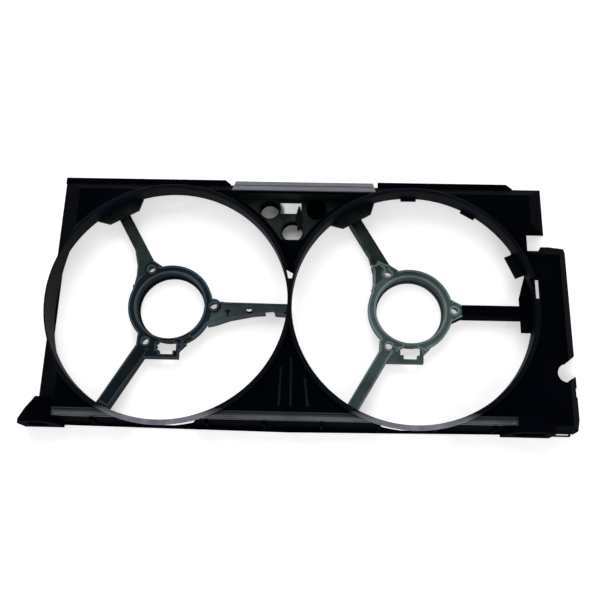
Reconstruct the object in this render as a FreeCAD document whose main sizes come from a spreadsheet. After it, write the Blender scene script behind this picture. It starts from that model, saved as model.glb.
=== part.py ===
"""Bare twin-fan radiator shroud, lying on its radiator side with the engine side up.

Millimetres. X runs across the car, Y is up when the shroud is fitted, Z points to the engine.
Sizes are measured from midway between the fan axes, and the plane that faces the radiator. The
finished pieces are set down with the middle of their footprint on the origin.
"""
import FreeCAD, Part
import Sketcher
import os
import re

doc = FreeCAD.newDocument("fan_shroud")

SIZES = {
    # Fan barrels
    "fan_pitch": 305, "fan_bore": 300, "barrel_wall": 3, "barrel_depth": 21.5,
    "bead_width": 3, "bead_height": 4, "bead_slope": 1.2, "skirt_from": 100, "overhang_wall": 1.5,
    "tab_depth": 12.5, "tab_width": 31, "tab_thickness": 3, "tab_angle": 23.6,
    "stop_depth": 4, "stop_width": 20, "stop_angle": 59.5, "stop_spacing": 31,
    # Plenum: each wall's foot at the radiator, and how far it leans in up to the deck
    "deck_height": 42, "rim_rise": 8, "skin": 2.5, "wall_inset": 3,
    "left_margin": 7, "right_margin": 28.7, "frame_top": 180, "frame_bottom": 149.5,
    "frame_left": "=fan_pitch / 2 + fan_bore / 2 + barrel_wall + left_margin",
    "frame_right": "=fan_pitch / 2 + fan_bore / 2 + barrel_wall + right_margin",
    "left_rake": 33.5, "right_rake": 28.5, "top_rake": 28, "bottom_rake": 3.5,
    "flange_width": 10, "flange_thickness": 3, "web_end": 35,
    "web_half": 8, "web_slant": 10, "neck_start": 20, "neck_slot_start": 29, "neck_slot_end": 45,
    # Lips and beam along the top
    "lip_depth": 6.5, "lip_thickness": 3, "lip_taper": 8, "left_lip_end": 86,
    "right_lip_start": 114, "right_lip_end": 296, "beam_left": 80, "beam_right": 108,
    "beam_depth": 6.5, "beam_head": 1.5,
    # Motor rings
    "hub_bore": 87.4, "hub_width": 10, "hub_top": 20.5, "hub_base": 1, "hub_lip": 2.2,
    "hub_lip_height": 3, "hub_skin": 2.5, "hub_skirt": 8, "bolt_circle": 111, "bolt_bore": 8,
    "boss_width": 19, "clip_bore": 9, "ring_slot_long": 10, "ring_slot_wide": 5,
    # Connector brackets
    "window_wide": 25, "window_low": 59, "window_high": 50, "window_neck": 17,
    "neck_low": 64, "neck_high": 46.4, "bracket_low": 69, "bracket_left": 31, "bracket_right": 15,
    "bracket_shoulder": 24, "bracket_skirt": 9,
    # Arms
    "arm_width": 15, "arm_base": 3, "arm_skin": 2.5, "flare_width": 36, "flare_reach": 65,
    "channel_start": 86, "channel_end": 146, "riser_start": 147,
    "foot_reach": 136, "foot_inner_width": 42, "foot_outer_width": 77, "foot_thickness": 4,
    "web_reach": 90, "side_arm_rise": 4.2, "side_arm_drop": 25, "side_arm_tip": 7,
    "side_foot_low": 29, "side_foot_rise": 16, "side_foot_high": 50,
    "cable_hole": 7.4, "cable_hole_reach": 101, "cable_hole_drop": 3, "side_channel_drop": 10.6,
    "web_hole": 7, "web_hole_reach": 77, "web_hole_offset": 8,
    # Recessed pan between the fans
    "pan_height": 18, "pan_half_width": 69, "pan_bottom": 84, "rim_strip": 12,
    "pan_hole": 26, "pan_hole_offset": 31, "pan_hole_row": 136.5, "low_hole": 28, "low_hole_row": 105,
    "pan_window": 28, "pan_window_centre": -3, "pan_window_low": 131, "pan_window_high": 147,
    "cup_height": 6, "cup_depth": 10, "cup_wall": 2,
    # Cable clip on the pan
    "clip_offset": 8.5, "clip_width": 9, "clip_foot": 4, "clip_start": 107, "clip_barb": 121,
    "clip_end": 140, "clip_thickness": 4,
    # Foot of the shroud
    "rail_width": 10, "rail_height": 4, "rail_inner": 137, "rail_groove": 1.5,
    "sill_depth": 2, "sill_bow": 3.5, "sill_thickness": 3, "rib_pitch": 69, "rib_first": 235, "rib_count": 8,
    "rib_thickness": 2.5, "rib_top": 38, "eye_width": 49, "eye_bore": 27, "eye_length": 19,
    "eye_height": 25, "eye_front": 155, "pin_room": 8, "pin_gap": 2, "left_eye_inset": 12.5,
    "right_eye_inset": 43.2, "eye_play": 11, "eye_rim": 5, "eye_neck": 12, "eye_neck_width": 35,
    "gusset_reach": 5, "gusset_length": 31, "gusset_height": 10,
    "loop_start": 318, "loop_width": 28, "loop_depth": 3.5, "loop_wall": 1.5, "loop_height": 5,
    # Cable panel on the right
    "panel_reach": 26.3, "panel_top": 97, "panel_side_rake": 21.5, "panel_top_rake": 27,
    "shoulder_drop": 15, "shoulder_inset": 14.2, "shoulder_lean": 9.7, "corner_drop": 8.5,
    "corner_inset": 5,
    "notch_depth": 35.2, "notch_top": 113, "hose_notch": 22.4, "hose_notch_row": 82.3,
    "hose_notch_depth": 35.7, "hose_mouth_low": 17, "hose_mouth_high": 21,
    "strap_notch_row": 104, "strap_notch": 12,
    "strap_notch_depth": 4, "strap_notch_height": 12, "corner_cut": 10, "corner_cut_length": 18,
    "exit_depth": 4.5, "exit_low": 8.7, "exit_length": 27.3,
}
sheet = doc.addObject("Spreadsheet::Sheet", "Sizes")
for row, (alias, value) in enumerate(SIZES.items(), 1):
    sheet.set(f"A{row}", alias)
    sheet.set(f"B{row}", str(value))
    sheet.setAlias(f"B{row}", alias)
doc.recompute()

WORD = re.compile(r"\b(" + "|".join(SIZES) + r")\b")
FAR = 500
ALL = (-FAR, FAR)
NODES = {}
CENTRE_X = "(frame_left - left_eye_inset + eye_width / 2 - frame_right - panel_reach) / 2"
CENTRE_Y = "(eye_front - frame_top - lip_depth) / 2"


def formula(text):
    """A formula on the sheet's names, as the document writes it."""
    return WORD.sub(r"Sizes.\1", str(text))


def bind(item, **formulas):
    for name, text in formulas.items():
        item.setExpression(name.replace("__", "."), formula(text))
    return item


def at(item, x=0, y=0, z=0):
    return bind(item, Placement__Base__x=f"{x} + {CENTRE_X}", Placement__Base__y=f"{y} + {CENTRE_Y}",
                Placement__Base__z=z)


def turn(item, degrees):
    return bind(item, Placement__Rotation__Angle=degrees)


def node(name, item):
    """Names an object as a sub-part that is handed over."""
    item.Label = name
    NODES[name] = item
    return item


# Solids between formulas


def box(x, y, z):
    """A block; x, y and z are each a low and a high formula."""
    item = doc.addObject("Part::Box", "block")
    bind(item, Length=f"({x[1]}) - ({x[0]})", Width=f"({y[1]}) - ({y[0]})",
         Height=f"({z[1]}) - ({z[0]})")
    return at(item, x[0], y[0], z[0])


def cylinder(x, y, radius, z):
    item = doc.addObject("Part::Cylinder", "cylinder")
    bind(item, Radius=radius, Height=f"({z[1]}) - ({z[0]})")
    return at(item, x, y, z[0])


def cylinder_along_y(x, z, radius, y):
    item = cylinder(x, z, radius, y)
    item.Placement.Rotation = FreeCAD.Rotation(FreeCAD.Vector(1, 0, 0), -90)
    return at(item, x, y[0], z)


def cone_along_y(x, z, radii, y):
    item = doc.addObject("Part::Cone", "cone")
    item.Placement.Rotation = FreeCAD.Rotation(FreeCAD.Vector(1, 0, 0), -90)
    bind(item, Radius1=radii[0], Radius2=radii[1], Height=f"({y[1]}) - ({y[0]})")
    return at(item, x, y[0], z)


def tapered_block(z, left, right, bottom, top):
    """A block between two heights; each side gives its reach at the low and the high one."""
    item = doc.addObject("Part::Wedge", "tapered_block")
    bind(item, Ymin=z[0], Ymax=z[1], Xmin=f"-({left[0]})", X2min=f"-({left[1]})",
         Xmax=right[0], X2max=right[1], Zmin=f"-({top[0]})", Z2min=f"-({top[1]})",
         Zmax=bottom[0], Z2max=bottom[1])
    item.Placement.Rotation = FreeCAD.Rotation(FreeCAD.Vector(1, 0, 0), 90)
    return at(item)


def fuse(*items):
    if len(items) == 1:
        return items[0]
    joined = doc.addObject("Part::MultiFuse", "fusion")
    joined.Shapes = list(items)
    joined.Refine = True
    return joined


def cut(base, *tools):
    result = doc.addObject("Part::Cut", "cut")
    result.Base = base
    result.Tool = fuse(*tools)
    result.Refine = True
    return result


def common(base, tool):
    result = doc.addObject("Part::Common", "common")
    result.Base = base
    result.Tool = tool
    result.Refine = True
    return result


# Sketched features


def plane_of(body, role):
    return next(item for item in body.Origin.OriginFeatures if item.Role == role)


def new_sketch(body, role, height):
    sketch = body.newObject("Sketcher::SketchObject", "sketch")
    sketch.AttachmentSupport = [(plane_of(body, role), "")]
    sketch.MapMode = "FlatFace"
    return bind(sketch, AttachmentOffset__Base__z=height)


def worth(sketch, text):
    return float(sketch.evalExpression(formula(text)))


def pin_point(sketch, element, point, x, y):
    """Holds a sketched point at two formulas from the sketch's origin."""
    for kind, text in (("DistanceX", x), ("DistanceY", y)):
        constraint = Sketcher.Constraint(kind, -1, 1, element, point, worth(sketch, text))
        number = sketch.addConstraint(constraint)
        sketch.setExpression(f"Constraints[{number}]", formula(text))


def outline(body, corners, role="XY_Plane", height=0):
    """A closed outline of straight lines through corners, each a pair of formulas."""
    sketch = new_sketch(body, role, height)
    spots = [FreeCAD.Vector(worth(sketch, x), worth(sketch, y), 0) for x, y in corners]
    count = len(corners)
    for index in range(count):
        sketch.addGeometry(Part.LineSegment(spots[index], spots[(index + 1) % count]), False)
    for index, (x, y) in enumerate(corners):
        sketch.addConstraint(Sketcher.Constraint("Coincident", index, 2, (index + 1) % count, 1))
        pin_point(sketch, index, 1, x, y)
    return sketch


def disc(body, x, y, radius, height=0):
    sketch = new_sketch(body, "XY_Plane", height)
    start = worth(sketch, radius)
    sketch.addGeometry(Part.Circle(FreeCAD.Vector(1, 1, 0), FreeCAD.Vector(0, 0, 1), start), False)
    number = sketch.addConstraint(Sketcher.Constraint("Radius", 0, start))
    sketch.setExpression(f"Constraints[{number}]", formula(radius))
    pin_point(sketch, 0, 3, x, y)
    return sketch


def new_body(name):
    return doc.addObject("PartDesign::Body", name)


def pad(body, sketch, length):
    feature = body.newObject("PartDesign::Pad", "pad")
    feature.Profile = sketch
    return bind(feature, Length=length)


def pocket(body, sketch, depth):
    """Cuts from the sketch towards the radiator."""
    feature = body.newObject("PartDesign::Pocket", "pocket")
    feature.Profile = sketch
    return bind(feature, Length=depth)


def spin(body, sketch):
    """Turns a section in the XZ plane about the body's Z axis."""
    feature = body.newObject("PartDesign::Revolution", "revolution")
    feature.Profile = sketch
    feature.ReferenceAxis = (sketch, ["V_Axis"])
    feature.Angle = 360
    return feature


def in_threes(body, feature):
    """Repeats a feature at the three arm directions."""
    pattern = body.newObject("PartDesign::PolarPattern", "in_threes")
    pattern.Originals = [feature]
    pattern.Axis = (plane_of(body, "Z_Axis"), [""])
    pattern.Angle = 360
    pattern.Occurrences = 3
    body.Tip = pattern
    return pattern


AXES = {"left": "-fan_pitch / 2", "right": "fan_pitch / 2"}
PANEL_RIGHT = "frame_right + panel_reach"
NOTCH_LEFT = "frame_right - notch_depth"
DEPTH = "(deck_height + rim_rise)"
THROAT = f"{DEPTH} - barrel_depth"
BARREL = "fan_bore / 2 + barrel_wall"
HUB_EDGE = "hub_bore / 2 + hub_width"


# Plenum skin, from which the deck pieces are taken


def prism(name, corners):
    body = new_body(name)
    pad(body, outline(body, corners, height=-1), FAR)
    return at(body)


def plenum_block(top, inset):
    """The hollow box over the radiator, with walls that lean in and the cable panel's bulge."""
    def lean(foot, rake):
        return [f"{foot} - {rake} * ({z}) / deck_height - ({inset})" for z in (0, top)]

    bottom = lean("frame_bottom", "bottom_rake")
    main = tapered_block((0, top), lean("frame_left", "left_rake"), lean("frame_right", "right_rake"),
                         bottom, lean("frame_top", "top_rake"))
    notch = box((f"{NOTCH_LEFT} - ({inset})", FAR),
                (f"panel_top - panel_top_rake - ({inset})", f"notch_top + {inset}"), (-1, FAR))
    panel = tapered_block((0, top), (0, 0), lean(PANEL_RIGHT, "panel_side_rake"), bottom,
                          lean("panel_top", "panel_top_rake"))
    shoulder = prism("shoulder", [
        (0, f"panel_top - shoulder_drop - {inset}"),
        (f"frame_right - shoulder_inset + 0.6 * ({inset})", f"panel_top - shoulder_drop - {inset}"),
        (f"frame_right + shoulder_lean - shoulder_inset + 1.2 * ({inset})", "panel_top + 1"),
        (0, "panel_top + 1")])
    corner = prism("corner", [
        (f"frame_right + corner_inset - {inset}", f"panel_top - {inset}"),
        (f"{PANEL_RIGHT} + 1", f"panel_top - corner_drop - {inset}"), (f"{PANEL_RIGHT} + 1", "panel_top + 1"),
        (f"frame_right + corner_inset - {inset}", "panel_top + 1")])
    return fuse(cut(main, notch), cut(panel, shoulder, corner))


plenum = plenum_block("deck_height", 0)
inside = plenum_block("deck_height - skin", "wall_inset")

within_flange = ("flange_width - frame_bottom", "frame_top - flange_width")
flange_opening = fuse(
    box(("flange_width - frame_left", f"{NOTCH_LEFT} - flange_width"), within_flange, ALL),
    box((0, "frame_right - flange_width"), ("notch_top + flange_width", within_flange[1]), ALL),
    box((0, f"{PANEL_RIGHT} - flange_width"),
        (within_flange[0], "panel_top - shoulder_drop - flange_width"), ALL),
    box(("frame_right", f"{PANEL_RIGHT} - flange_width"), (within_flange[0], "panel_top - flange_width"), ALL))
flange = cut(common(plenum, box(ALL, ALL, (0, "flange_thickness"))), flange_opening)


hose_axis = f"{PANEL_RIGHT} - hose_notch_depth + hose_notch / 2"
hose_low, hose_high = "-hose_notch_row - hose_notch / 2", "hose_notch / 2 - hose_notch_row"
hose_mouth = prism("hose_mouth", [(f"{hose_axis} - 2", hose_low),
                                  (f"{PANEL_RIGHT} + 1", f"{hose_low} + hose_mouth_low"),
                                  (f"{PANEL_RIGHT} + 1", f"{hose_high} + hose_mouth_high"),
                                  (f"{hose_axis} - 2", hose_high)])
corner_cut = prism("corner_cut", [(PANEL_RIGHT, "corner_cut_length - frame_bottom"),
                                  (PANEL_RIGHT, "-frame_bottom - 1"),
                                  (f"{PANEL_RIGHT} - corner_cut", "-frame_bottom - 1")])
strap_notch = box((f"{PANEL_RIGHT} - strap_notch_depth", FAR),
                  ("-strap_notch_row", "strap_notch - strap_notch_row"), (-1, "strap_notch_height"))
exit_span = ("fan_pitch / 2", f"fan_pitch / 2 + {BARREL} + exit_depth")
exit_row = ("exit_low", "exit_low + exit_length")
cable_exit = box((f"fan_pitch / 2 + {BARREL}", exit_span[1]), exit_row, (THROAT, FAR))
panel_cuts = [hose_mouth, corner_cut, strap_notch, cable_exit,
              cylinder(hose_axis, "-hose_notch_row", "hose_notch / 2", (-1, FAR))]
barrel_space = [cylinder(x, 0, BARREL, ("flange_thickness", FAR)) for x in AXES.values()]
bore_space = [cylinder(x, 0, "fan_bore / 2", (-1, FAR)) for x in AXES.values()]
skin = cut(fuse(cut(plenum, inside), flange), *barrel_space, *bore_space, *panel_cuts)

SPANS = {"left": (-FAR, "-fan_pitch / 2"), "centre": ("-fan_pitch / 2", "fan_pitch / 2"),
         "right": ("fan_pitch / 2", FAR)}


def deck(place, y):
    return common(skin, box(SPANS[place], y, ALL))


# Fan barrels


def inner_tab(x, degrees, width, depth):
    """A flat tab that stands in from the barrel's lower end."""
    body = new_body("tab")
    inner = f"fan_bore / 2 - {depth}"
    pad(body, outline(body, [(inner, f"-{width} / 2"), (BARREL, f"-{width} / 2"),
                             (BARREL, f"{width} / 2"), (inner, f"{width} / 2")], height=THROAT),
        "tab_thickness")
    at(turn(body, degrees), x)
    return common(body, cylinder(x, 0, "fan_bore / 2 + barrel_wall / 2", (0, FAR)))


def fan_ring(side):
    """The duct round one fan: a beaded tube, longer where it runs past a plenum wall."""
    x = AXES[side]
    body = new_body(f"{side}_tube")
    bead = f"{BARREL} + bead_width"
    spin(body, outline(body, [
        ("fan_bore / 2", THROAT), (BARREL, THROAT), (BARREL, f"{DEPTH} - bead_height"),
        (bead, f"{DEPTH} - bead_height"), (bead, f"{DEPTH} - bead_slope"),
        (f"{bead} - bead_slope", DEPTH), ("fan_bore / 2", DEPTH)], role="XZ_Plane"))
    at(body, x)
    neck_slot = cut(box(("-web_half", "web_half"), ("neck_slot_start", "neck_slot_end"),
                        (f"{DEPTH} - bead_height", FAR)), cylinder(x, 0, BARREL, (0, FAR)))
    if side == "right":
        tabs = [inner_tab(x, "tab_angle", "tab_width", "tab_depth")]
        for degrees in ("stop_angle", "stop_angle + stop_spacing"):
            tabs.append(inner_tab(x, degrees, "stop_width", "stop_depth"))
        return cut(fuse(body, *tabs), box((-FAR, 0), ALL, (-1, FAR)), neck_slot,
                   box(exit_span, exit_row, ("deck_height", FAR)))
    # The left barrel closes the hole that it makes in the leaning wall, and its bead stops there
    tube = cut(cylinder(x, 0, BARREL, ("flange_thickness", THROAT)),
               cylinder(x, 0, "fan_bore / 2", (0, FAR)))
    skirt = cut(common(tube, box((-FAR, f"{x} - skirt_from"), ALL, (0, FAR))), inside)
    overhang = cut(box((-FAR, "left_rake - frame_left"), ALL, (f"{DEPTH} - bead_height", FAR)),
                   cylinder(x, 0, "fan_bore / 2 + overhang_wall", (0, FAR)))
    return cut(fuse(body, skirt), box((0, FAR), ALL, (-1, FAR)), neck_slot, overhang)


for side in AXES:
    node(f"{side}_fan_ring", fan_ring(side))


# Motor rings


def hub_space(x):
    """The room that a motor ring and its three bosses take."""
    bosses = [cylinder(f"{x} + bolt_circle / 2 * cos({degrees})", f"bolt_circle / 2 * sin({degrees})",
                       "boss_width / 2", (-1, FAR)) for degrees in (0, 120, 240)]
    return fuse(cylinder(x, 0, HUB_EDGE, (-1, FAR)), *bosses)


def window(body):
    """The cross-shaped hole for a motor's plug."""
    for width, low, high in (("window_wide", "-window_low", "-window_high"),
                             ("window_neck", "-neck_low", "-neck_high")):
        left, right = f"-{width} / 2 - 1", f"{width} / 2 - 1"
        pocket(body, outline(body, [(left, low), (right, low), (right, high), (left, high)],
                             height="hub_top"), "hub_top - hub_base")


def motor_ring(side):
    """A channel-section ring, open to the radiator, with three solid bolt bosses."""
    x = AXES[side]
    body = new_body(f"{side}_motor")
    inner, ceiling = "hub_bore / 2", "hub_top - hub_skin"
    spin(body, outline(body, [
        (f"{inner} - hub_lip", "hub_base"), (f"{inner} + hub_skin", "hub_base"),
        (f"{inner} + hub_skin", ceiling), (f"{HUB_EDGE} - hub_skin", ceiling),
        (f"{HUB_EDGE} - hub_skin", "hub_top - hub_skirt"), (HUB_EDGE, "hub_top - hub_skirt"),
        (HUB_EDGE, "hub_top"), (inner, "hub_top"), (inner, "hub_base + hub_lip_height"),
        (f"{inner} - hub_lip", "hub_base + hub_lip_height")], role="XZ_Plane"))
    boss = disc(body, "bolt_circle / 2", 0, "boss_width / 2", "hub_base")
    in_threes(body, pad(body, boss, "hub_top - hub_base"))
    hole = disc(body, "bolt_circle / 2", 0, "bolt_bore / 2", "hub_top")
    in_threes(body, pocket(body, hole, "hub_top"))
    window(body)
    at(body, x)
    if side == "right":
        return cut(body, cylinder(f"{x} - {HUB_EDGE} + clip_bore / 4", 0, "clip_bore / 2", (0, FAR)))
    slot = turn(box((0, "ring_slot_long"), (0, "ring_slot_wide"), (0, FAR)), 30)
    middle = "hub_bore / 2 + hub_width / 2 + 1"
    return cut(body, at(slot, f"{x} + ({middle}) * cos(-60) - ring_slot_long / 2",
                        f"({middle}) * sin(-60) - ring_slot_wide"))


for side in AXES:
    node(f"{side}_motor_ring", motor_ring(side))


# Arms, each drawn along X from its fan's axis

STRAIGHT = [("hub_bore / 2", "-flare_width / 2"), ("flare_reach", "-arm_width / 2"),
            (BARREL, "-arm_width / 2"), (BARREL, "arm_width / 2"),
            ("flare_reach", "arm_width / 2"), ("hub_bore / 2", "flare_width / 2")]
WEBBED = STRAIGHT[:4] + [("web_reach", "arm_width / 2"), ("0.76 * web_reach", 14), (57, 20.5),
                         (44, 31), (34, 38), (20, 30)]
TAPERED = [("hub_bore / 2", "-side_arm_drop"), (57, "3 - side_arm_drop"), (76, "-2 * side_arm_tip - 1"),
           (105, "-side_arm_tip - 1.8"), (131, "1 - side_arm_tip"), (135, "-side_arm_tip - 1"),
           (BARREL, "-side_arm_tip - 2"), (BARREL, "side_arm_rise"), (70, "side_arm_rise + 1"),
           (60, "side_arm_rise + 2"), (54, "side_arm_rise + 3.8"), ("hub_bore / 2", "side_arm_rise + 11")]
FOOT = [("foot_reach", "-foot_inner_width / 2"), (BARREL, "-foot_outer_width / 2"),
        (BARREL, "foot_outer_width / 2"), ("foot_reach", "foot_inner_width / 2")]
STEPPED_FOOT = [("foot_reach", "-side_foot_low"), (BARREL, "-side_foot_low"), (BARREL, "side_foot_high"),
                ("foot_reach + 10", "side_foot_high"), ("foot_reach + 5", "2 * side_foot_rise + 1"),
                ("foot_reach", "side_foot_rise")]


def arm(side, degrees, corners, foot=None, hole=None):
    """One arm, hollow from the radiator side, trimmed to its motor ring and seated under the barrel."""
    x = AXES[side]
    body = new_body("arm")
    low, high = "arm_skin - arm_width / 2", "arm_width / 2 - arm_skin"
    if corners is TAPERED:
        low, high = "-side_arm_tip", "side_arm_rise - arm_skin"

    def strip(start, end, height):
        return outline(body, [(start, low), (end, low), (end, high), (start, high)], height=height)

    pad(body, outline(body, corners, height="arm_base"), "hub_top - arm_base")
    top = "hub_top - arm_skin"
    if corners is TAPERED:
        channel = outline(body, [("channel_start", "-side_channel_drop"), (105, low), ("channel_end", low),
                                 ("channel_end", high), ("channel_start", high)], height=top)
    else:
        channel = strip("channel_start", "channel_end", top)
    pocket(body, channel, f"{top} - arm_base")
    if foot:
        plate = f"{THROAT} - foot_thickness"
        pad(body, strip("foot_reach", BARREL, top), f"{plate} - ({top})")
        pad(body, outline(body, foot, height=plate), "foot_thickness")
    else:
        pad(body, strip("riser_start", BARREL, top), f"{THROAT} - ({top})")
    if hole:
        width, reach, offset = hole
        pocket(body, disc(body, reach, offset, f"{width} / 2", "hub_top"), "hub_top")
    at(turn(body, degrees), x)
    trimmed = common(cut(body, hub_space(x)), cylinder(x, 0, BARREL, (0, FAR)))
    return cut(trimmed, box((0, FAR), ALL, (-1, FAR))) if side == "left" else trimmed


node("left_upper_arm", arm("left", 120, WEBBED, FOOT))
node("left_side_arm", arm("left", 0, TAPERED, hole=("cable_hole", "cable_hole_reach", "-cable_hole_drop")))
node("left_lower_arm", arm("left", 240, STRAIGHT))
node("right_upper_arm", arm("right", 120, WEBBED, FOOT, hole=("web_hole", "web_hole_reach", "web_hole_offset")))
node("right_side_arm", arm("right", 0, STRAIGHT, STEPPED_FOOT))
node("right_lower_arm", arm("right", 240, STRAIGHT))


# Connector brackets under the motor rings


def bracket(side):
    body = new_body(f"{side}_bracket")
    plate = [("-bracket_left", "-bracket_low"), ("bracket_right", "-bracket_low"),
             ("bracket_right", "-window_low"), ("bracket_shoulder", "-window_high"), (0, "-hub_bore / 2"),
             ("-bracket_left", "-neck_high")]
    pad(body, outline(body, plate, height="hub_top - bracket_skirt"), "bracket_skirt")
    window(body)
    at(body, AXES[side])
    return cut(body, hub_space(AXES[side]), NODES[f"{side}_lower_arm"])


for side in AXES:
    node(f"{side}_connector_bracket", bracket(side))


# Recessed pan between the tops of the fans


def between_rims(grow, z):
    """The space between the two rims, grown outwards by a formula."""
    block = box((f"-pan_half_width - ({grow})", f"pan_half_width + ({grow})"),
                (f"pan_bottom - ({grow})", f"frame_top - top_rake - skin + ({grow})"), z)
    rims = [cylinder(x, 0, f"fan_bore / 2 + rim_strip - ({grow})", (-1, FAR)) for x in AXES.values()]
    return cut(block, *rims)


recess = between_rims(0, ("pan_height", FAR))
floor = ("pan_height - skin - 1", "pan_height + 1")
pan = cut(between_rims("skin", ("pan_height - skin", "deck_height - skin")), skin, recess,
          cylinder("-pan_hole_offset", "pan_hole_row", "pan_hole / 2", floor),
          cylinder("pan_hole_offset", "pan_hole_row", "pan_hole / 2", floor),
          cylinder(0, "low_hole_row", "low_hole / 2", floor),
          box(("pan_window_centre - pan_window / 2", "pan_window_centre + pan_window / 2"),
              ("pan_window_low", "pan_window_high"), floor))
node("recess_pan", pan)
node("pan_cup", cut(
    cylinder("pan_hole_offset", "pan_hole_row", "pan_hole / 2",
             ("pan_height - cup_depth", "pan_height + cup_height")),
    cylinder("pan_hole_offset", "pan_hole_row", "pan_hole / 2 - cup_wall",
             ("pan_height - cup_depth + cup_wall", FAR))))

clip = new_body("clip")
barb, shaft = "clip_width / 2", "clip_foot / 2"
pad(clip, outline(clip, [
    (f"-{shaft}", "clip_start"), (shaft, "clip_start"), (shaft, "clip_barb - clip_width"),
    (barb, "clip_barb"), (shaft, "clip_barb + 2"), (barb, "clip_barb + clip_width / 2"),
    ("clip_foot / 4", "clip_end"), ("-clip_foot / 4", "clip_end"),
    (f"-{barb}", "clip_barb + clip_width / 2"), (f"-{shaft}", "clip_barb + 2"),
    (f"-{barb}", "clip_barb"), (f"-{shaft}", "clip_barb - clip_width")]), "clip_thickness")
node("cable_clip", at(clip, "clip_offset", 0, "pan_height"))


# Mounting eyes at the foot, bored along the panel


def eye(x, play=None, rim="eye_length"):
    """The form, the bore and the pin's room of one eye; play makes all longer across the car."""
    centres = [x] if play is None else [f"{x} - {play} / 2", f"{x} + {play} / 2"]
    y = ("-eye_front", "eye_length - eye_front")

    def bar(width, reach):
        ends = [cylinder_along_y(centre, "eye_height", f"{width} / 2", reach) for centre in centres]
        if play is None:
            return ends
        return ends + [box((centres[0], centres[1]), reach,
                           (f"eye_height - {width} / 2", f"eye_height + {width} / 2"))]

    face = (y[0], f"{y[0]} + {rim}")
    foot = box((f"{centres[0]} - eye_width / 2", f"{centres[-1]} + eye_width / 2"), face, (0, "eye_height"))
    room = bar("(eye_bore + 2 * pin_gap)", (y[1], f"{y[1]} + pin_room"))
    return fuse(foot, *bar("eye_width", face)), fuse(*bar("eye_bore", (-FAR, y[1]))), fuse(*room)


left_eye_row = "(left_eye_inset - frame_left)"
right_eye_row = "(frame_right - right_eye_inset)"
left_face, left_bore, left_room = eye(left_eye_row, rim="eye_rim")
taper = ("eye_rim - eye_front", "eye_length - eye_front")
left_eye = fuse(left_face, cone_along_y(left_eye_row, "eye_height", ("eye_width / 2", "eye_neck_width / 2"), taper),
                box((f"{left_eye_row} - eye_neck_width / 2", f"{left_eye_row} + eye_neck_width / 2"), taper,
                    (0, "eye_height")))
right_eye, right_bore, right_room = eye(right_eye_row, "eye_play")
node("upper_left_deck", deck("left", (0, FAR)))
web_cut = prism("web_cut", [("-web_half", "web_end - 1"), ("web_half", "web_end - 1"), ("web_half", "web_end + 1"),
                            ("-web_half", "web_end + web_slant")])
node("upper_centre_deck", cut(deck("centre", ("web_end", FAR)), recess, web_cut))
node("lower_centre_deck", deck("centre", (-FAR, "-neck_start")))
node("lower_left_deck", cut(deck("left", (-FAR, 0)), left_eye, left_room))
panel_side = box((NOTCH_LEFT, FAR), (-FAR, "panel_top"), ALL)
node("upper_right_deck", cut(deck("right", (0, FAR)), panel_side))
node("lower_right_deck", cut(deck("right", (-FAR, 0)), panel_side, right_eye, right_room))
node("cable_panel", cut(common(skin, panel_side), right_eye, right_room))

gusset = at(new_body("gusset"))
pad(gusset, outline(gusset, [
    ("-frame_left", "gusset_length - frame_bottom"), ("-frame_left - gusset_reach", "5 - frame_bottom"),
    ("-frame_left - gusset_reach", "eye_length - eye_front"), (left_eye_row, "eye_length - eye_front"),
    (left_eye_row, "gusset_length - frame_bottom")]), "gusset_height")
ring_walls = [cut(outer, inner) for outer, inner in zip(barrel_space, bore_space)]
neck = cylinder_along_y(left_eye_row, "eye_height", "eye_neck_width / 2",
                        ("eye_length - eye_front", "eye_length - eye_front + eye_neck"))
node("left_lower_eye", cut(fuse(left_eye, cut(fuse(gusset, neck), plenum)), left_bore, left_room, *ring_walls))
node("right_lower_eye", cut(right_eye, right_bore))

loop = at(new_body("loop"))
loop_end = "-frame_bottom - loop_depth"
pad(loop, outline(loop, [("loop_start", loop_end), ("loop_start + loop_width", loop_end),
                         ("loop_start + loop_width", "1 - frame_bottom"),
                         ("loop_start", "1 - frame_bottom")]), "loop_height")
pocket(loop, outline(loop, [("loop_start + loop_wall", f"{loop_end} + loop_wall"),
                            ("loop_start + loop_width - loop_wall", f"{loop_end} + loop_wall"),
                            ("loop_start + loop_width - loop_wall", "1 - frame_bottom"),
                            ("loop_start + loop_wall", "1 - frame_bottom")], height="loop_height"),
       "loop_height")
node("lower_loop", cut(loop, plenum, right_eye))


# Grooved rail and ribbed sill along the foot

rail = at(new_body("rail"))
low, high = "deck_height + rail_height / 2", "deck_height + rail_height"
pad(rail, outline(rail, [
    ("-rail_inner", "deck_height"), ("-rail_inner", high), ("-rail_inner - rail_groove", high),
    ("-rail_inner - rail_groove", low), ("-rail_inner - 2 * rail_groove", low),
    ("-rail_inner - 2 * rail_groove", high), ("-rail_inner - rail_width", high),
    ("-rail_inner - rail_width", "deck_height")], role="YZ_Plane", height="left_rake - frame_left"),
    f"frame_left - left_rake + {right_eye_row}")
bead_space = [cylinder(x, 0, f"{BARREL} + bead_width", (0, FAR)) for x in AXES.values()]
rails = cut(rail, left_eye, right_eye, *bead_space)
for place, span in SPANS.items():
    node(f"{place}_rail", common(rails, box(span, ALL, ALL)))

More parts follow.
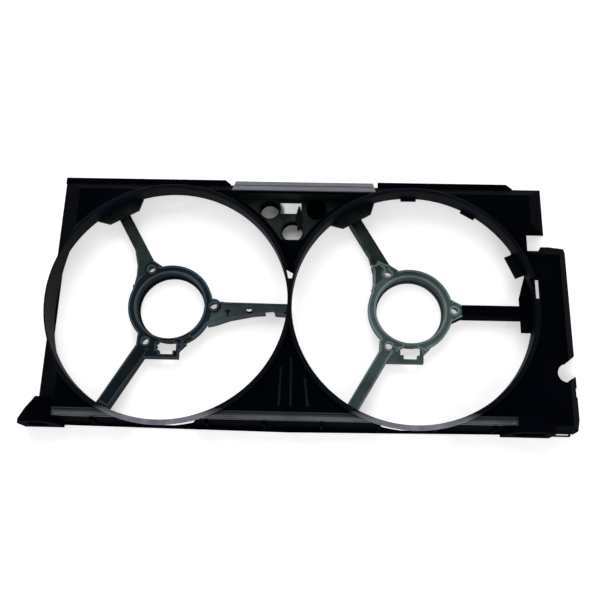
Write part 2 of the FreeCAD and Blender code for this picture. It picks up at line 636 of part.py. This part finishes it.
sill = at(new_body("sill"))
front = "-frame_bottom - sill_depth"
pad(sill, outline(sill, [("-frame_left", front), ("-fan_pitch / 3", f"{front} - 0.8 * sill_bow"),
                         (0, f"{front} - sill_bow"), ("fan_pitch / 3", f"{front} - 0.6 * sill_bow"),
                         (right_eye_row, front), (right_eye_row, "-frame_bottom"),
                         ("-frame_left", "-frame_bottom")]), "sill_thickness")
back = "bottom_rake - frame_bottom"
rib = pad(sill, outline(sill, [("-rib_first", front), ("rib_thickness - rib_first", front),
                               ("rib_thickness - rib_first", back), ("-rib_first", back)]), "rib_top")
doc.recompute()
rib_row = sill.newObject("PartDesign::LinearPattern", "rib_row")
rib_row.Originals = [rib]
rib_row.Direction = (plane_of(sill, "X_Axis"), [""])
bind(rib_row, Length="rib_pitch * (rib_count - 1)", Occurrences="rib_count")
sill.Tip = rib_row
node("ribbed_sill", cut(sill, plenum, left_eye, right_eye, *barrel_space))


# Beam and lips along the head

beam = tapered_block((0, "deck_height"), ("beam_left", "beam_left"), ("beam_right", "beam_right"),
                     ("-pan_bottom", "-pan_bottom"),
                     ("frame_top + beam_depth", "frame_top - top_rake + beam_head"))
node("cross_beam", cut(beam, plenum, box(ALL, (-FAR, "frame_top - top_rake - skin"), ALL), *barrel_space))


def lip(start, end, taper_at_start):
    """A thin lip beyond the frame's top edge, with one end tapered off."""
    body = at(new_body("lip"))
    tip = "frame_top + lip_depth"
    first = f"{start} + lip_taper" if taper_at_start else start
    last = end if taper_at_start else f"{end} - lip_taper"
    root = "frame_top - lip_thickness"
    pad(body, outline(body, [(start, root), (end, root), (end, "frame_top"), (last, tip), (first, tip),
                             (start, "frame_top")]), "lip_thickness")
    return cut(body, plenum)


node("left_top_lip", lip("-frame_left", "-left_lip_end", False))
node("right_top_lip", lip("right_lip_start", "right_lip_end", False))

doc.recompute()
faults = [item.Name for item in doc.Objects if {"Invalid", "Error"} & set(item.State)]
faults += [name for name, item in NODES.items() if item.Shape.isNull() or not item.Shape.isValid()]
if faults:
    raise RuntimeError(f"these did not build: {faults}")
os.makedirs("parts", exist_ok=True)
for name, item in NODES.items():
    item.Shape.exportStep(f"parts/{name}.step")
    print(name, round(item.Shape.Volume), len(item.Shape.Solids), item.Shape.BoundBox)
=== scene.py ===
"""Bare twin-fan radiator shroud of black moulded plastic, on its radiator side on a white table."""

from math import pi, radians

import bmesh
import bpy
from mathutils import Euler, Matrix, Vector


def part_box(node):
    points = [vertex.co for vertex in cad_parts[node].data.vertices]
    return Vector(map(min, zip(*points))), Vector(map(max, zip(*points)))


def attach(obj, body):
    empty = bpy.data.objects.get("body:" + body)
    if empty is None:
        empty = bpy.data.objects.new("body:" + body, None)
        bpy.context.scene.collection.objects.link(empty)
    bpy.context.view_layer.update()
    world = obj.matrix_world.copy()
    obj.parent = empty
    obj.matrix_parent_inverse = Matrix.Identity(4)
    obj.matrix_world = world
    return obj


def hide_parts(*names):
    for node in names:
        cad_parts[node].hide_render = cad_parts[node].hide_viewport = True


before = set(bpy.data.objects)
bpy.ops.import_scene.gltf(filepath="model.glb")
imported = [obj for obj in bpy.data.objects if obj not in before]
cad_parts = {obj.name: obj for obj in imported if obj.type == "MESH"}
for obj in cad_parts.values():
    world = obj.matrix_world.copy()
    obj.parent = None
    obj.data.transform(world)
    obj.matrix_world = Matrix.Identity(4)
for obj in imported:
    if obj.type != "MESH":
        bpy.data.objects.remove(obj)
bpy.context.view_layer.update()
scene = bpy.context.scene
scene.view_settings.view_transform = "Standard"

# Camera
# It looks down on the engine side from below the shroud's foot, from standing height over the
# table, with a normal lens. Its place, tilt and lens are fitted to the two rims and the frame.
camera_data = bpy.data.cameras.new("camera")
camera_data.sensor_width = 36
camera_data.lens = 45.16
camera = bpy.data.objects.new("camera", camera_data)
stand = Matrix.Translation((0.012778, -0.299428, 0.932251))
tilt = Euler((radians(17.8865), radians(0.7), radians(1.3954)))
camera.matrix_world = stand @ tilt.to_matrix().to_4x4()
scene.collection.objects.link(camera)
scene.camera = camera

# The hood
# The decks and leaning walls that close the gap between the fans and the square frame, and the
# cable panel's bulge. They are injection-moulded polypropylene, one moulding with all the rest but
# the cable clip, and their long edges come out of the tool with a small radius.
MM = 0.001  # sizes are written in millimetres, and the scene is in metres
MOULD_RADIUS = 0.6
SHARP_BEND = radians(40)  # an edge that turns by more than this is rounded
SAME_POINT = 0.01 * MM  # corners closer than this are one corner


def linear(hex_colour):
    """An sRGB colour as the linear values that a shader works in."""
    channels = [int(hex_colour[i:i + 2], 16) / 255 for i in (1, 3, 5)]
    return [c / 12.92 if c <= 0.04045 else ((c + 0.055) / 1.055) ** 2.4 for c in channels] + [1.0]


def add(tree, kind, links=None, **settings):
    """Adds a node, sets its properties or its inputs by name, and links the outputs given."""
    made = tree.nodes.new("ShaderNode" + kind)
    for name, value in settings.items():
        if hasattr(made, name):
            setattr(made, name, value)
        else:
            made.inputs[name.replace("_", " ")].default_value = value
    for name, output in (links or {}).items():
        tree.links.new(output, made.inputs[name])
    return made


def moulded(name, tones, dust, roughness, grain_mm, shine, second_tone=None):
    """Black moulded plastic: a drifting tone, grain from the tool, worn polish and dust on top.

    Tones are the darkest and the palest colour, and dust its colour and the most that it covers.
    A second tone is painted light or shade: a colour, with the y and the z at which it sets in
    and is full, in millimetres.
    """
    drift_mm, patch_mm, grain_depth_mm = 60, 25, 0.4
    polish, wear = 0.08, 0.12  # how far the roughness falls and rises from patch to patch
    dust_colour, dust_cover = dust
    material = bpy.data.materials.new(name)
    material.use_nodes = True
    tree = material.node_tree
    tree.nodes.clear()
    place = add(tree, "TexCoord").outputs["Object"]
    # The tone drifts where the melt cooled at different speeds
    flow = add(tree, "TexNoise", {"Vector": place}, Scale=1 / (drift_mm * MM), Detail=3.0,
               Roughness=0.55)
    tone = add(tree, "ValToRGB", {"Fac": flow.outputs["Fac"]})
    for stop, position, hex_colour in zip(tone.color_ramp.elements, (0.36, 0.66), tones):
        stop.position = position
        stop.color = linear(hex_colour)
    # Dust lies in patches on the faces that look up
    patches = add(tree, "TexNoise", {"Vector": place}, Scale=1 / (patch_mm * MM), Detail=6.0,
                  Roughness=0.7)
    facing = add(tree, "SeparateXYZ", {"Vector": add(tree, "NewGeometry").outputs["Normal"]})
    lying = add(tree, "MapRange", {"Value": facing.outputs["Z"]}, From_Min=0.5)
    patchy = add(tree, "MapRange", {"Value": patches.outputs["Fac"]}, From_Min=0.42,
                 From_Max=0.72, To_Max=dust_cover)
    cover = add(tree, "Math", {0: lying.outputs["Result"], 1: patchy.outputs["Result"]},
                operation="MULTIPLY")
    # Inputs 6 and 7 of a Mix node are the two colours that it mixes, and output 2 is the mixture
    dusty = add(tree, "Mix", {"Factor": cover.outputs["Value"], 6: tone.outputs["Color"]},
                data_type="RGBA")
    dusty.inputs[7].default_value = linear(dust_colour)
    tint = dusty.outputs[2]
    # The second tone paints light or shade in streaks, in the direction of y and above its height
    if second_tone:
        other_colour, along, up = second_tone
        where = add(tree, "SeparateXYZ", {"Vector": place})
        beyond = add(tree, "MapRange", {"Value": where.outputs["Y"]}, From_Min=along[0] * MM,
                     From_Max=along[1] * MM)
        above = add(tree, "MapRange", {"Value": where.outputs["Z"]}, From_Min=up[0] * MM,
                    From_Max=up[1] * MM)
        there = add(tree, "Math", {0: beyond.outputs["Result"], 1: above.outputs["Result"]},
                    operation="MULTIPLY")
        streaks = add(tree, "MapRange", {"Value": patches.outputs["Fac"]}, From_Min=0.3,
                      From_Max=0.6, To_Min=0.5)
        share = add(tree, "Math", {0: there.outputs["Value"], 1: streaks.outputs["Result"]},
                    operation="MULTIPLY")
        painted_tone = add(tree, "Mix", {"Factor": share.outputs["Value"], 6: tint}, data_type="RGBA")
        painted_tone.inputs[7].default_value = linear(other_colour)
        tint = painted_tone.outputs[2]
    # The real grain is too fine to show, so it is drawn as coarse as still shows from a metre away
    grain = add(tree, "TexNoise", {"Vector": place}, Scale=1 / (grain_mm * MM), Detail=4.0,
                Roughness=0.6)
    worn = add(tree, "MapRange", {"Value": patches.outputs["Fac"]}, To_Min=roughness - polish,
               To_Max=roughness + wear)
    relief = add(tree, "Bump", {"Height": grain.outputs["Fac"]}, Strength=0.25,
                 Distance=grain_depth_mm * MM)
    plastic = add(tree, "BsdfPrincipled",
                  {"Base Color": tint, "Roughness": worn.outputs["Result"],
                   "Normal": relief.outputs["Normal"]}, IOR=1.49, Specular_IOR_Level=shine)
    add(tree, "OutputMaterial", {"Surface": plastic.outputs["BSDF"]})
    return material


def soften(solid, radius=MOULD_RADIUS):
    """Rounds the sharp edges of a solid by a radius in millimetres, once its faces are whole."""
    weld = solid.modifiers.new("weld", "WELD")
    weld.merge_threshold = SAME_POINT
    whole = solid.modifiers.new("whole_faces", "DECIMATE")
    whole.decimate_type = "DISSOLVE"
    whole.angle_limit = radians(0.5)
    edge = solid.modifiers.new("soft_edges", "BEVEL")
    edge.width = radius * MM
    edge.segments = 2
    edge.limit_method = "ANGLE"
    edge.angle_limit = SHARP_BEND
    shading = solid.modifiers.new("even_shading", "WEIGHTED_NORMAL")
    shading.keep_sharp = True


def dress(names, finish, radius=MOULD_RADIUS):
    """Gives CAD nodes their finish and rounds their edges by a radius in millimetres."""
    for name in names:
        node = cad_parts[name]
        node.data.materials.clear()
        node.data.materials.append(finish)
        soften(node, radius)


# The tool's coarse spark-eroded grain makes a dead, slightly blue black with no highlight
hood_plastic = moulded("polypropylene_grained_hood", tones=("#010205", "#03050c"),
                       dust=("#0a0c11", 0.15), roughness=0.87, grain_mm=2.2, shine=0.01)
decks = [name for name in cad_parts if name.endswith("_deck")]
dress(decks + ["cable_panel"], hood_plastic)

# Fan rings
# The two beaded barrels that the fans turn in, moulded with the hood. Their lips are drawn with a
# generous radius, and three small stops stand on the outside of the lips at the head.
lip_radius = 1.5
stop_depth, stop_low, stop_high = 6, 43.5, 46.5


def piece(name, form, finish):
    """Makes an object of a finished form, in place, and lets it ride with the shroud."""
    bmesh.ops.recalc_face_normals(form, faces=form.faces)
    mesh = bpy.data.meshes.new(name)
    form.to_mesh(mesh)
    form.free()
    mesh.materials.append(finish)
    made = bpy.data.objects.new(name, mesh)
    scene.collection.objects.link(made)
    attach(made, "root")
    return made


def block(form, low, high):
    """A moulded block between two corners, with rounded edges; all in millimetres."""
    rounding = 0.4
    low, high = Vector(low) * MM, Vector(high) * MM
    place = Matrix.Translation((low + high) / 2) @ Matrix.Diagonal((*(high - low), 1))
    corners = bmesh.ops.create_cube(form, size=1, matrix=place)["verts"]
    edges = {edge for corner in corners for edge in corner.link_edges}
    bmesh.ops.bevel(form, geom=list(edges), offset=rounding * MM, offset_type="OFFSET",
                    segments=2, profile=0.5, affect="EDGES", material=-1)


# The tool is polished here, so each lip carries a thin line of light, and a pale grey is painted
# on the lips at the foot as a highlight
lip_plastic = moulded("polypropylene_lips_painted_foot_highlight", tones=("#010307", "#050911"),
                      dust=("#0d1017", 0.1), roughness=0.55, grain_mm=3.5, shine=0.03,
                      second_tone=("#7d8089", (-150, -162), (44, 47)))
dress(("left_fan_ring", "right_fan_ring"), lip_plastic, lip_radius)
stops = bmesh.new()
for left, right, foot in ((-202, -189, 136), (-158, -145, 137.5), (120, 142, 138)):
    block(stops, (left, foot, stop_low), (right, foot + stop_depth, stop_high))
piece("ring_stops", stops, hood_plastic)

# Motor rings, arms and plug brackets
# Each motor is bolted to the three bosses of a channel-section ring, which three hollow arms carry,
# all one moulding with the hood. A raised border runs round every outline and hole of their top.
FAN_X = {"left": -170.5, "right": 134.5}
FAN_Y = -15.75
HUB_PARTS = ("motor_ring", "upper_arm", "side_arm", "lower_arm", "connector_bracket")
plate_top = 20.5
bolt_circle, bolt_radius, bolt_slack, flare_top = 55.5, 4, 0.15, 15
shade_black_from_x, shaded_from_y = 202, 48
CLOSE = 0.1 * MM  # how far a corner or face may lie from the level it belongs to

# Smoother than the hood, with dust and a painted sheen in their grey: the left hub painted in shade
# as a blackish grey, the right painted in light as a paler one
shaded_hub = moulded("polypropylene_smooth_hub_painted_shade", tones=("#060c0e", "#131f24"),
                   dust=("#1c2729", 0.25), roughness=0.55, grain_mm=3.5, shine=0.04)
lit_hub = moulded("polypropylene_smooth_hub_painted_light", tones=("#1a2727", "#3f504e"),
                    dust=("#4c5956", 0.3), roughness=0.5, grain_mm=3.5, shine=0.1)
# The crests of the borders are smoother and painted pale as a highlight, so they are the palest
# lines; the right ones are paler still as painted light
shaded_border_highlight = moulded("polypropylene_borders_painted_highlight_in_shade", tones=("#16212a", "#344552"),
                      dust=("#3d4b57", 0.3), roughness=0.45, grain_mm=5.0, shine=0.14)
lit_border_highlight = moulded("polypropylene_borders_painted_highlight_in_light", tones=("#364544", "#63757a"),
                       dust=("#6d7a77", 0.3), roughness=0.42, grain_mm=5.0, shine=0.2)
# Painted shade: the upper arms are darker than their hubs and turn as black as the hood at their
# outer ends
shaded_arm = moulded("polypropylene_smooth_shaded_arm", tones=("#0e1817", "#283633"),
                     dust=("#343e3b", 0.3), roughness=0.5, grain_mm=3.5, shine=0.05,
                     second_tone=("#030507", (78, 98), (-2, -1)))


def as_one(names):
    """Copies of CAD nodes that touch, merged and joined into one closed form."""
    copies = []
    for name in names:
        form = bmesh.new()
        form.from_mesh(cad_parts[name].data)
        bmesh.ops.remove_doubles(form, verts=form.verts, dist=SAME_POINT)
        mesh = bpy.data.meshes.new("copy")
        form.to_mesh(mesh)
        form.free()
        copies.append(bpy.data.objects.new("copy", mesh))
        scene.collection.objects.link(copies[-1])
    for other in copies[1:]:
        union = copies[0].modifiers.new("union", "BOOLEAN")
        union.operation = "UNION"
        union.solver = "EXACT"
        union.object = other
    form = bmesh.new()
    form.from_object(copies[0], bpy.context.evaluated_depsgraph_get())
    for copy in copies:
        bpy.data.objects.remove(copy)
    return form


def keep_only(form, kept):
    """Deletes every face of a form but those given."""
    others = [face for face in form.faces if face not in kept]
    bmesh.ops.delete(form, geom=others, context="FACES")


def border(form, top, width, height):
    """Keeps only a raised border, with rounded corners, round the faces of a form at one height."""
    sunk, crest_radius = 0.3, 0.5
    doubled_point, short_edge, folded_edge = 0.02, 0.3, 0.005
    bmesh.ops.remove_doubles(form, verts=form.verts, dist=doubled_point * MM)
    keep_only(form, {face for face in form.faces if face.normal.z > 0.99
                     and abs(face.calc_center_median().z - top * MM) < CLOSE})
    bmesh.ops.dissolve_limit(form, angle_limit=radians(1), verts=form.verts, edges=form.edges)
    bmesh.ops.dissolve_degenerate(form, dist=short_edge * MM, edges=form.edges)
    strip = bmesh.ops.inset_region(form, faces=form.faces, thickness=width * MM,
                                   use_boundary=True, use_even_offset=False)["faces"]
    keep_only(form, set(strip))
    # The strip starts a little inside the plate, so that no gap shows under it
    bmesh.ops.translate(form, verts=form.verts, vec=(0, 0, -sunk * MM))
    raised = bmesh.ops.extrude_face_region(form, geom=form.faces)["geom"]
    lifted = [part for part in raised if isinstance(part, bmesh.types.BMVert)]
    bmesh.ops.translate(form, verts=lifted, vec=(0, 0, (height + sunk) * MM))
    bmesh.ops.recalc_face_normals(form, faces=form.faces)
    crest = [edge for edge in form.edges
             if len(edge.link_faces) == 2 and edge.calc_face_angle() > SHARP_BEND
             and min(corner.co.z for corner in edge.verts) > top * MM]
    bmesh.ops.bevel(form, geom=crest, offset=crest_radius * MM, offset_type="OFFSET", segments=2,
                    profile=0.5, affect="EDGES", material=-1, clamp_overlap=True)
    # What the rounding folds up in tight corners is cleared, and the strip is closed again
    bmesh.ops.dissolve_degenerate(form, dist=folded_edge * MM, edges=form.edges)
    bmesh.ops.holes_fill(form, edges=[edge for edge in form.edges if edge.is_boundary], sides=0)


for side, hub, rim in (("left", shaded_hub, shaded_border_highlight), ("right", lit_hub, lit_border_highlight)):
    names = [f"{side}_{part}" for part in HUB_PARTS]
    dress(names[1:], hub)
    # Below its top plate each boss flares to twice the bolt hole, so that the table shows through
    ring = as_one(names[:1])
    for third in range(3):
        out = Matrix.Rotation(third * 2 * pi / 3, 3, "Z") @ Vector((bolt_circle, 0, 0))
        bolt = (Vector((FAN_X[side], FAN_Y, 0)) + out) * MM
        for corner in ring.verts:
            across = (corner.co - bolt) * Vector((1, 1, 0))
            in_hole = abs(across.length - bolt_radius * MM) < bolt_slack * MM
            if in_hole and corner.co.z < flare_top * MM:
                corner.co += across
    flared = piece(f"{side}_flared_ring", ring, hub)
    soften(flared)
    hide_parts(names[0])
    outline = as_one(names)
    border(outline, top=plate_top, width=2.6, height=0.8)
    # The border takes the hood's black on the right side arm and the upper arms' tone, both as
    # painted shade
    for face in outline.faces:
        middle = face.calc_center_median() / MM
        face.material_index = 1 if middle.x > shade_black_from_x else 2 if middle.y > shaded_from_y else 0
    rimmed = piece(f"{side}_hub_border", outline, rim)
    rimmed.data.materials.append(hood_plastic)
    rimmed.data.materials.append(shaded_arm)
# These four arms differ in tone from their hubs as painted light and shade: the right side arm
# gets the hood's black and the upper arms the darker arm tone as painted shade, and the left side
# arm the lit hub's paler grey as painted light
for name, finish in (("right_side_arm", hood_plastic), ("right_upper_arm", shaded_arm),
                     ("left_upper_arm", shaded_arm), ("left_side_arm", lit_hub)):
    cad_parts[name].data.materials[0] = finish


def rod(form, start, end, thickness):
    """A round bead from one point to another, to lie half sunk in a face; all in millimetres."""
    start, end = Vector(start) * MM, Vector(end) * MM
    along = end - start
    lean = along.to_track_quat("Z", "Y").to_matrix().to_4x4()
    bmesh.ops.create_cone(form, segments=12, radius1=thickness / 2 * MM,
                          radius2=thickness / 2 * MM, depth=along.length, cap_ends=True,
                          matrix=Matrix.Translation((start + end) / 2) @ lean)


# What keeps a motor's cable in place: a tab on the left side arm, a hook on the right upper arm
tab = bmesh.new()
block(tab, (-98, -28.5, 20), (-95.4, -20.8, 22.4))
block(tab, (-100, -22.8, 20), (-93.5, -20.6, 22.4))
piece("left_arm_cable_tab", tab, shaded_hub)
hook = bmesh.new()
hook_bend, hook_thickness = (73.5, 78.25, 16.5), 4
for tip in ((78.5, 66.25, 16.5), (77, 80, 16.5)):
    rod(hook, hook_bend, tip, hook_thickness)
piece("right_arm_cable_hook", hook, lit_hub)

# Flow ribs in the centre plate
# Three low ribs of the moulding run from the neck between the fans down to the foot. They lead the
# melt to the thin neck, and catch the light as faint upright folds.
deck_low, deck_high = [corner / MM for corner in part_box("lower_centre_deck")]
plate_middle = (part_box("left_fan_ring")[1][0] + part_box("right_fan_ring")[0][0]) / 2 / MM
fold_thickness, fold_spread, fold_sunk, fold_inset = 3.6, 1.2, 0.9, 20
fold_height, fold_foot = deck_high.z - fold_sunk, deck_low.y + fold_inset
folds = bmesh.new()
for offset, start in ((-8, 82), (4, 70), (21, 95)):
    rod(folds, (plate_middle + offset, FAN_Y - start, fold_height),
        (plate_middle + offset * fold_spread, fold_foot, fold_height), fold_thickness)
piece("centre_folds", folds, shaded_hub)

# Recessed pan and its socket
# The tray that is sunk between the tops of the rings, in one piece with the hood, with a round
# socket for a stud. Its two through holes have beaded rims, and a short tube hangs below each.
small_hole, large_hole = (-49, 120.75), (-18, 89.25)
pan_floor, hole_bead = 18, 2.4
tube_top, tube_wall = 17, 1.2

# Grained as the hood is, but dust gathers here and turns it a matt greenish grey
pan_plastic = moulded("polypropylene_dusty_pan", tones=("#0b1211", "#1e2826"),
                      dust=("#454a40", 0.6), roughness=0.6, grain_mm=2.2, shine=0.05)
dress(("recess_pan",), pan_plastic)
dress(("pan_cup",), hood_plastic)


def hoop(form, centre, radius, height, thickness):
    """A round bead that runs in a full circle; all in millimetres."""
    start = (Matrix.Translation(Vector((centre[0] + radius, centre[1], height)) * MM)
             @ Matrix.Rotation(pi / 2, 4, "X"))
    section = bmesh.ops.create_circle(form, segments=10, radius=thickness / 2 * MM,
                                      matrix=start)["verts"]
    edges = {edge for corner in section for edge in corner.link_edges}
    bmesh.ops.spin(form, geom=section + list(edges), cent=Vector((centre[0], centre[1], 0)) * MM,
                   axis=(0, 0, 1), angle=2 * pi, steps=48, use_merge=True)


outlines = bmesh.new()
for centre, radius in ((large_hole, 15.2), (small_hole, 14.2)):
    hoop(outlines, centre, radius, pan_floor, hole_bead)
piece("pan_hole_outlines", outlines, pan_plastic)
sleeves = bmesh.new()
for centre, radius, tube_foot in ((small_hole, 13.6, 1.5), (large_hole, 14.6, 9)):
    place = Matrix.Translation(Vector((*centre, (tube_foot + tube_top) / 2)) * MM)
    wall = bmesh.ops.create_cone(sleeves, segments=48, radius1=radius * MM, radius2=radius * MM,
                                 depth=(tube_top - tube_foot) * MM, cap_ends=False,
                                 matrix=place)["verts"]
    faces = list({face for corner in wall for face in corner.link_faces})
    bmesh.ops.solidify(sleeves, geom=faces, thickness=tube_wall * MM)
piece("pan_sleeves", sleeves, hood_plastic)

# Cable clip
# A barbed clip of black nylon, moulded on its own, that lies loose in the recessed pan. Nylon has
# no grain to speak of, but here it is matt and nearly as dark as the hood.
clip_plastic = moulded("nylon_smooth_clip", tones=("#030506", "#0a0e10"), dust=("#141816", 0.3),
                       roughness=0.6, grain_mm=4.0, shine=0.03)
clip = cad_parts["cable_clip"]
clip.data.materials.clear()
clip.data.materials.append(clip_plastic)

# Cross beam
# The leaning wall at the head of the pan, between the two top lips, moulded with them. One rib
# stiffens it along its middle.
rib_inset, rib_y, rib_z, rib_thickness = 3, 154.25, 20.6, 2
# The tool is polished here too, so it mirrors the bright room as a blue-grey sheen, and its colour
# is painted a paler blue-grey as a reflection on top of that
beam_plastic = moulded("polypropylene_polished_beam", tones=("#151c24", "#28323e"),
                       dust=("#323b46", 0.3), roughness=0.44, grain_mm=5.0, shine=0.34)
dress(("cross_beam",), beam_plastic)
beam_low, beam_high = [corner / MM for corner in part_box("cross_beam")]
rib = bmesh.new()
rod(rib, (beam_low.x + rib_inset, rib_y, rib_z), (beam_high.x - rib_inset, rib_y, rib_z),
    rib_thickness)
piece("beam_rib", rib, beam_plastic)

# Top lips
# Flat strips along the head of the hood that lie on the radiator's tank. They are moulded with the
# hood and have its grain and its black.
dress(("left_top_lip", "right_top_lip"), hood_plastic)

# Foot rails and sill
# The foot's edge stands up as a rail beside and between the rings, with a rounded outer bead. Below
# it are the ribbed sill, a loop and the right, slotted eye, all moulded with the hood.
bead_inset, bead_y, bead_z, bead_thickness = 3, -159.75, 45.4, 5
ring_gap = 51  # from a fan's axis to where the bead runs out into its ring
# Handling has polished the rails: dark, with a broad soft sheen
foot_plastic = moulded("polypropylene_handled_foot", tones=("#070a0e", "#12171c"),
                       dust=("#202422", 0.35), roughness=0.36, grain_mm=3.0, shine=0.25)
dress(("left_rail", "centre_rail", "right_rail"), foot_plastic)
dress(("ribbed_sill", "lower_loop", "right_lower_eye"), hood_plastic)
beads = bmesh.new()
for start, end in ((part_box("left_rail")[0].x / MM + bead_inset, FAN_X["left"] - ring_gap),
                   (FAN_X["left"] + ring_gap, FAN_X["right"] - ring_gap),
                   (FAN_X["right"] + ring_gap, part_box("right_rail")[1].x / MM - bead_inset)):
    rod(beads, (start, bead_y, bead_z), (end, bead_y, bead_z), bead_thickness)
# The bead is painted pale grey as a highlight, so it shows as a pale grey line along the foot
bead_highlight_plastic = moulded("polypropylene_bead_painted_highlight", tones=("#2b2f32", "#4b5052"),
                       dust=("#565a5e", 0.4), roughness=0.38, grain_mm=4.0, shine=0.25)
piece("rail_beads", beads, bead_highlight_plastic)

# Left eye
# It grows out of the corner as a horn, moulded with the hood: a rim that a pin goes through, a
# taper, and a root that is drawn in on its outer side, where the CAD keeps a plain round neck.
eye_centre = Vector((-318, 0, 25)) * MM
neck_reach, draw_length, root_width = 17.8, 4, 0.35
taper_end = -151.75 * MM
horn = as_one(("left_lower_eye",))
for corner in horn.verts:
    across = (corner.co - eye_centre) * Vector((1, 0, 1))
    beyond = corner.co.y - taper_end
    if beyond > CLOSE and across.length < neck_reach * MM:
        corner.co.x -= min(0, across.x) * (1 - root_width) * min(1, beyond / (draw_length * MM))
eye = piece("left_eye_horn", horn, hood_plastic)
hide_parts("left_lower_eye")

# Table and light
# A white paper-covered table that takes the shroud's soft shadow, a big soft lamp over the head of
# the shroud, a weaker one over its foot, and a low window in front of it.
crease_mm, crease_depth_mm = 90, 6
shade_full_mm, shade_end_mm, glow_through = 17, 21, 0.72
table_gap_mm = 0.5  # keeps the table's face apart from the shroud's underside
room_light, white_backdrop = 0.4, 1.0

# Matt white paper, barely creased, that glows just enough to stay white in the picture
table_material = bpy.data.materials.new("white_paper_table")
table_material.use_nodes = True
tree = table_material.node_tree
tree.nodes.clear()
place = add(tree, "TexCoord").outputs["Object"]
crease = add(tree, "TexNoise", {"Vector": place}, Scale=1 / (crease_mm * MM), Detail=2.0,
             Distortion=1.5)
paper = add(tree, "Bump", {"Height": crease.outputs["Fac"]}, Strength=0.4,
            Distance=crease_depth_mm * MM)
white = add(tree, "BsdfDiffuse", {"Normal": paper.outputs["Normal"]}, Color=linear("#f2f2f2"))
# The glow stops under the tray's two round holes, where the hollow hood keeps the table in shade.
# Elsewhere it is the product of what the two shades let through.
open_sky = []
for spot in ((-49, 126), (-18, 95)):
    away = add(tree, "VectorMath", {0: place}, operation="DISTANCE")
    away.inputs[1].default_value = Vector((*spot, 0)) * MM
    open_sky.append(add(tree, "MapRange", {"Value": away.outputs["Value"]},
                        From_Min=shade_full_mm * MM, From_Max=shade_end_mm * MM,
                        To_Max=glow_through).outputs["Result"])
lit_there = add(tree, "Math", {0: open_sky[0], 1: open_sky[1]}, operation="MULTIPLY")
glow = add(tree, "Emission", {"Strength": lit_there.outputs["Value"]}, Color=(1, 1, 1, 1))


def looked_at(tree):
    """1 for a ray that shows the background directly, in a reflection or through glass, else 0."""
    seen = add(tree, "LightPath")
    direct = add(tree, "Math", {0: seen.outputs["Is Camera Ray"], 1: seen.outputs["Is Glossy Ray"]},
                 operation="MAXIMUM")
    return add(tree, "Math", {0: direct.outputs["Value"], 1: seen.outputs["Is Transmission Ray"]},
               operation="MAXIMUM").outputs["Value"]


lit = add(tree, "AddShader", {0: white.outputs["BSDF"], 1: glow.outputs["Emission"]})
both = add(tree, "MixShader", {0: looked_at(tree), 1: white.outputs["BSDF"],
                               2: lit.outputs["Shader"]})
add(tree, "OutputMaterial", {"Surface": both.outputs["Shader"]})

table_mesh = bpy.data.meshes.new("table")
sheet = bmesh.new()
bmesh.ops.create_grid(sheet, x_segments=1, y_segments=1, size=6)
sheet.to_mesh(table_mesh)
sheet.free()
table_mesh.materials.append(table_material)
table = bpy.data.objects.new("table", table_mesh)
scene.collection.objects.link(table)
table.location.z = -table_gap_mm * MM

world = bpy.data.worlds.new("room")
world.use_nodes = True
scene.world = world
sky = world.node_tree
sky.nodes.clear()
room = add(sky, "Background", Color=(1, 1, 1, 1), Strength=room_light)
backdrop = add(sky, "Background", Color=(1, 1, 1, 1), Strength=white_backdrop)
walls = add(sky, "MixShader", {0: looked_at(sky), 1: room.outputs["Background"],
                               2: backdrop.outputs["Background"]})
add(sky, "OutputWorld", {"Surface": walls.outputs["Shader"]})

for name, spot, size, power in (("head_lamp", (-0.3, 1.2, 1.8), (1.6, 1.6), 22),
                                ("foot_lamp", (0.8, -1.4, 1.6), (1.2, 1.2), 8),
                                ("window", (0, -2.4, 0.65), (2.0, 0.3), 19)):
    lamp_data = bpy.data.lights.new(name, "AREA")
    lamp_data.shape = "RECTANGLE"
    lamp_data.size, lamp_data.size_y = size
    lamp_data.energy = power
    lamp = bpy.data.objects.new(name, lamp_data)
    lamp.location = spot
    lamp.rotation_euler = (-Vector(spot)).to_track_quat("-Z", "Y").to_euler()
    scene.collection.objects.link(lamp)
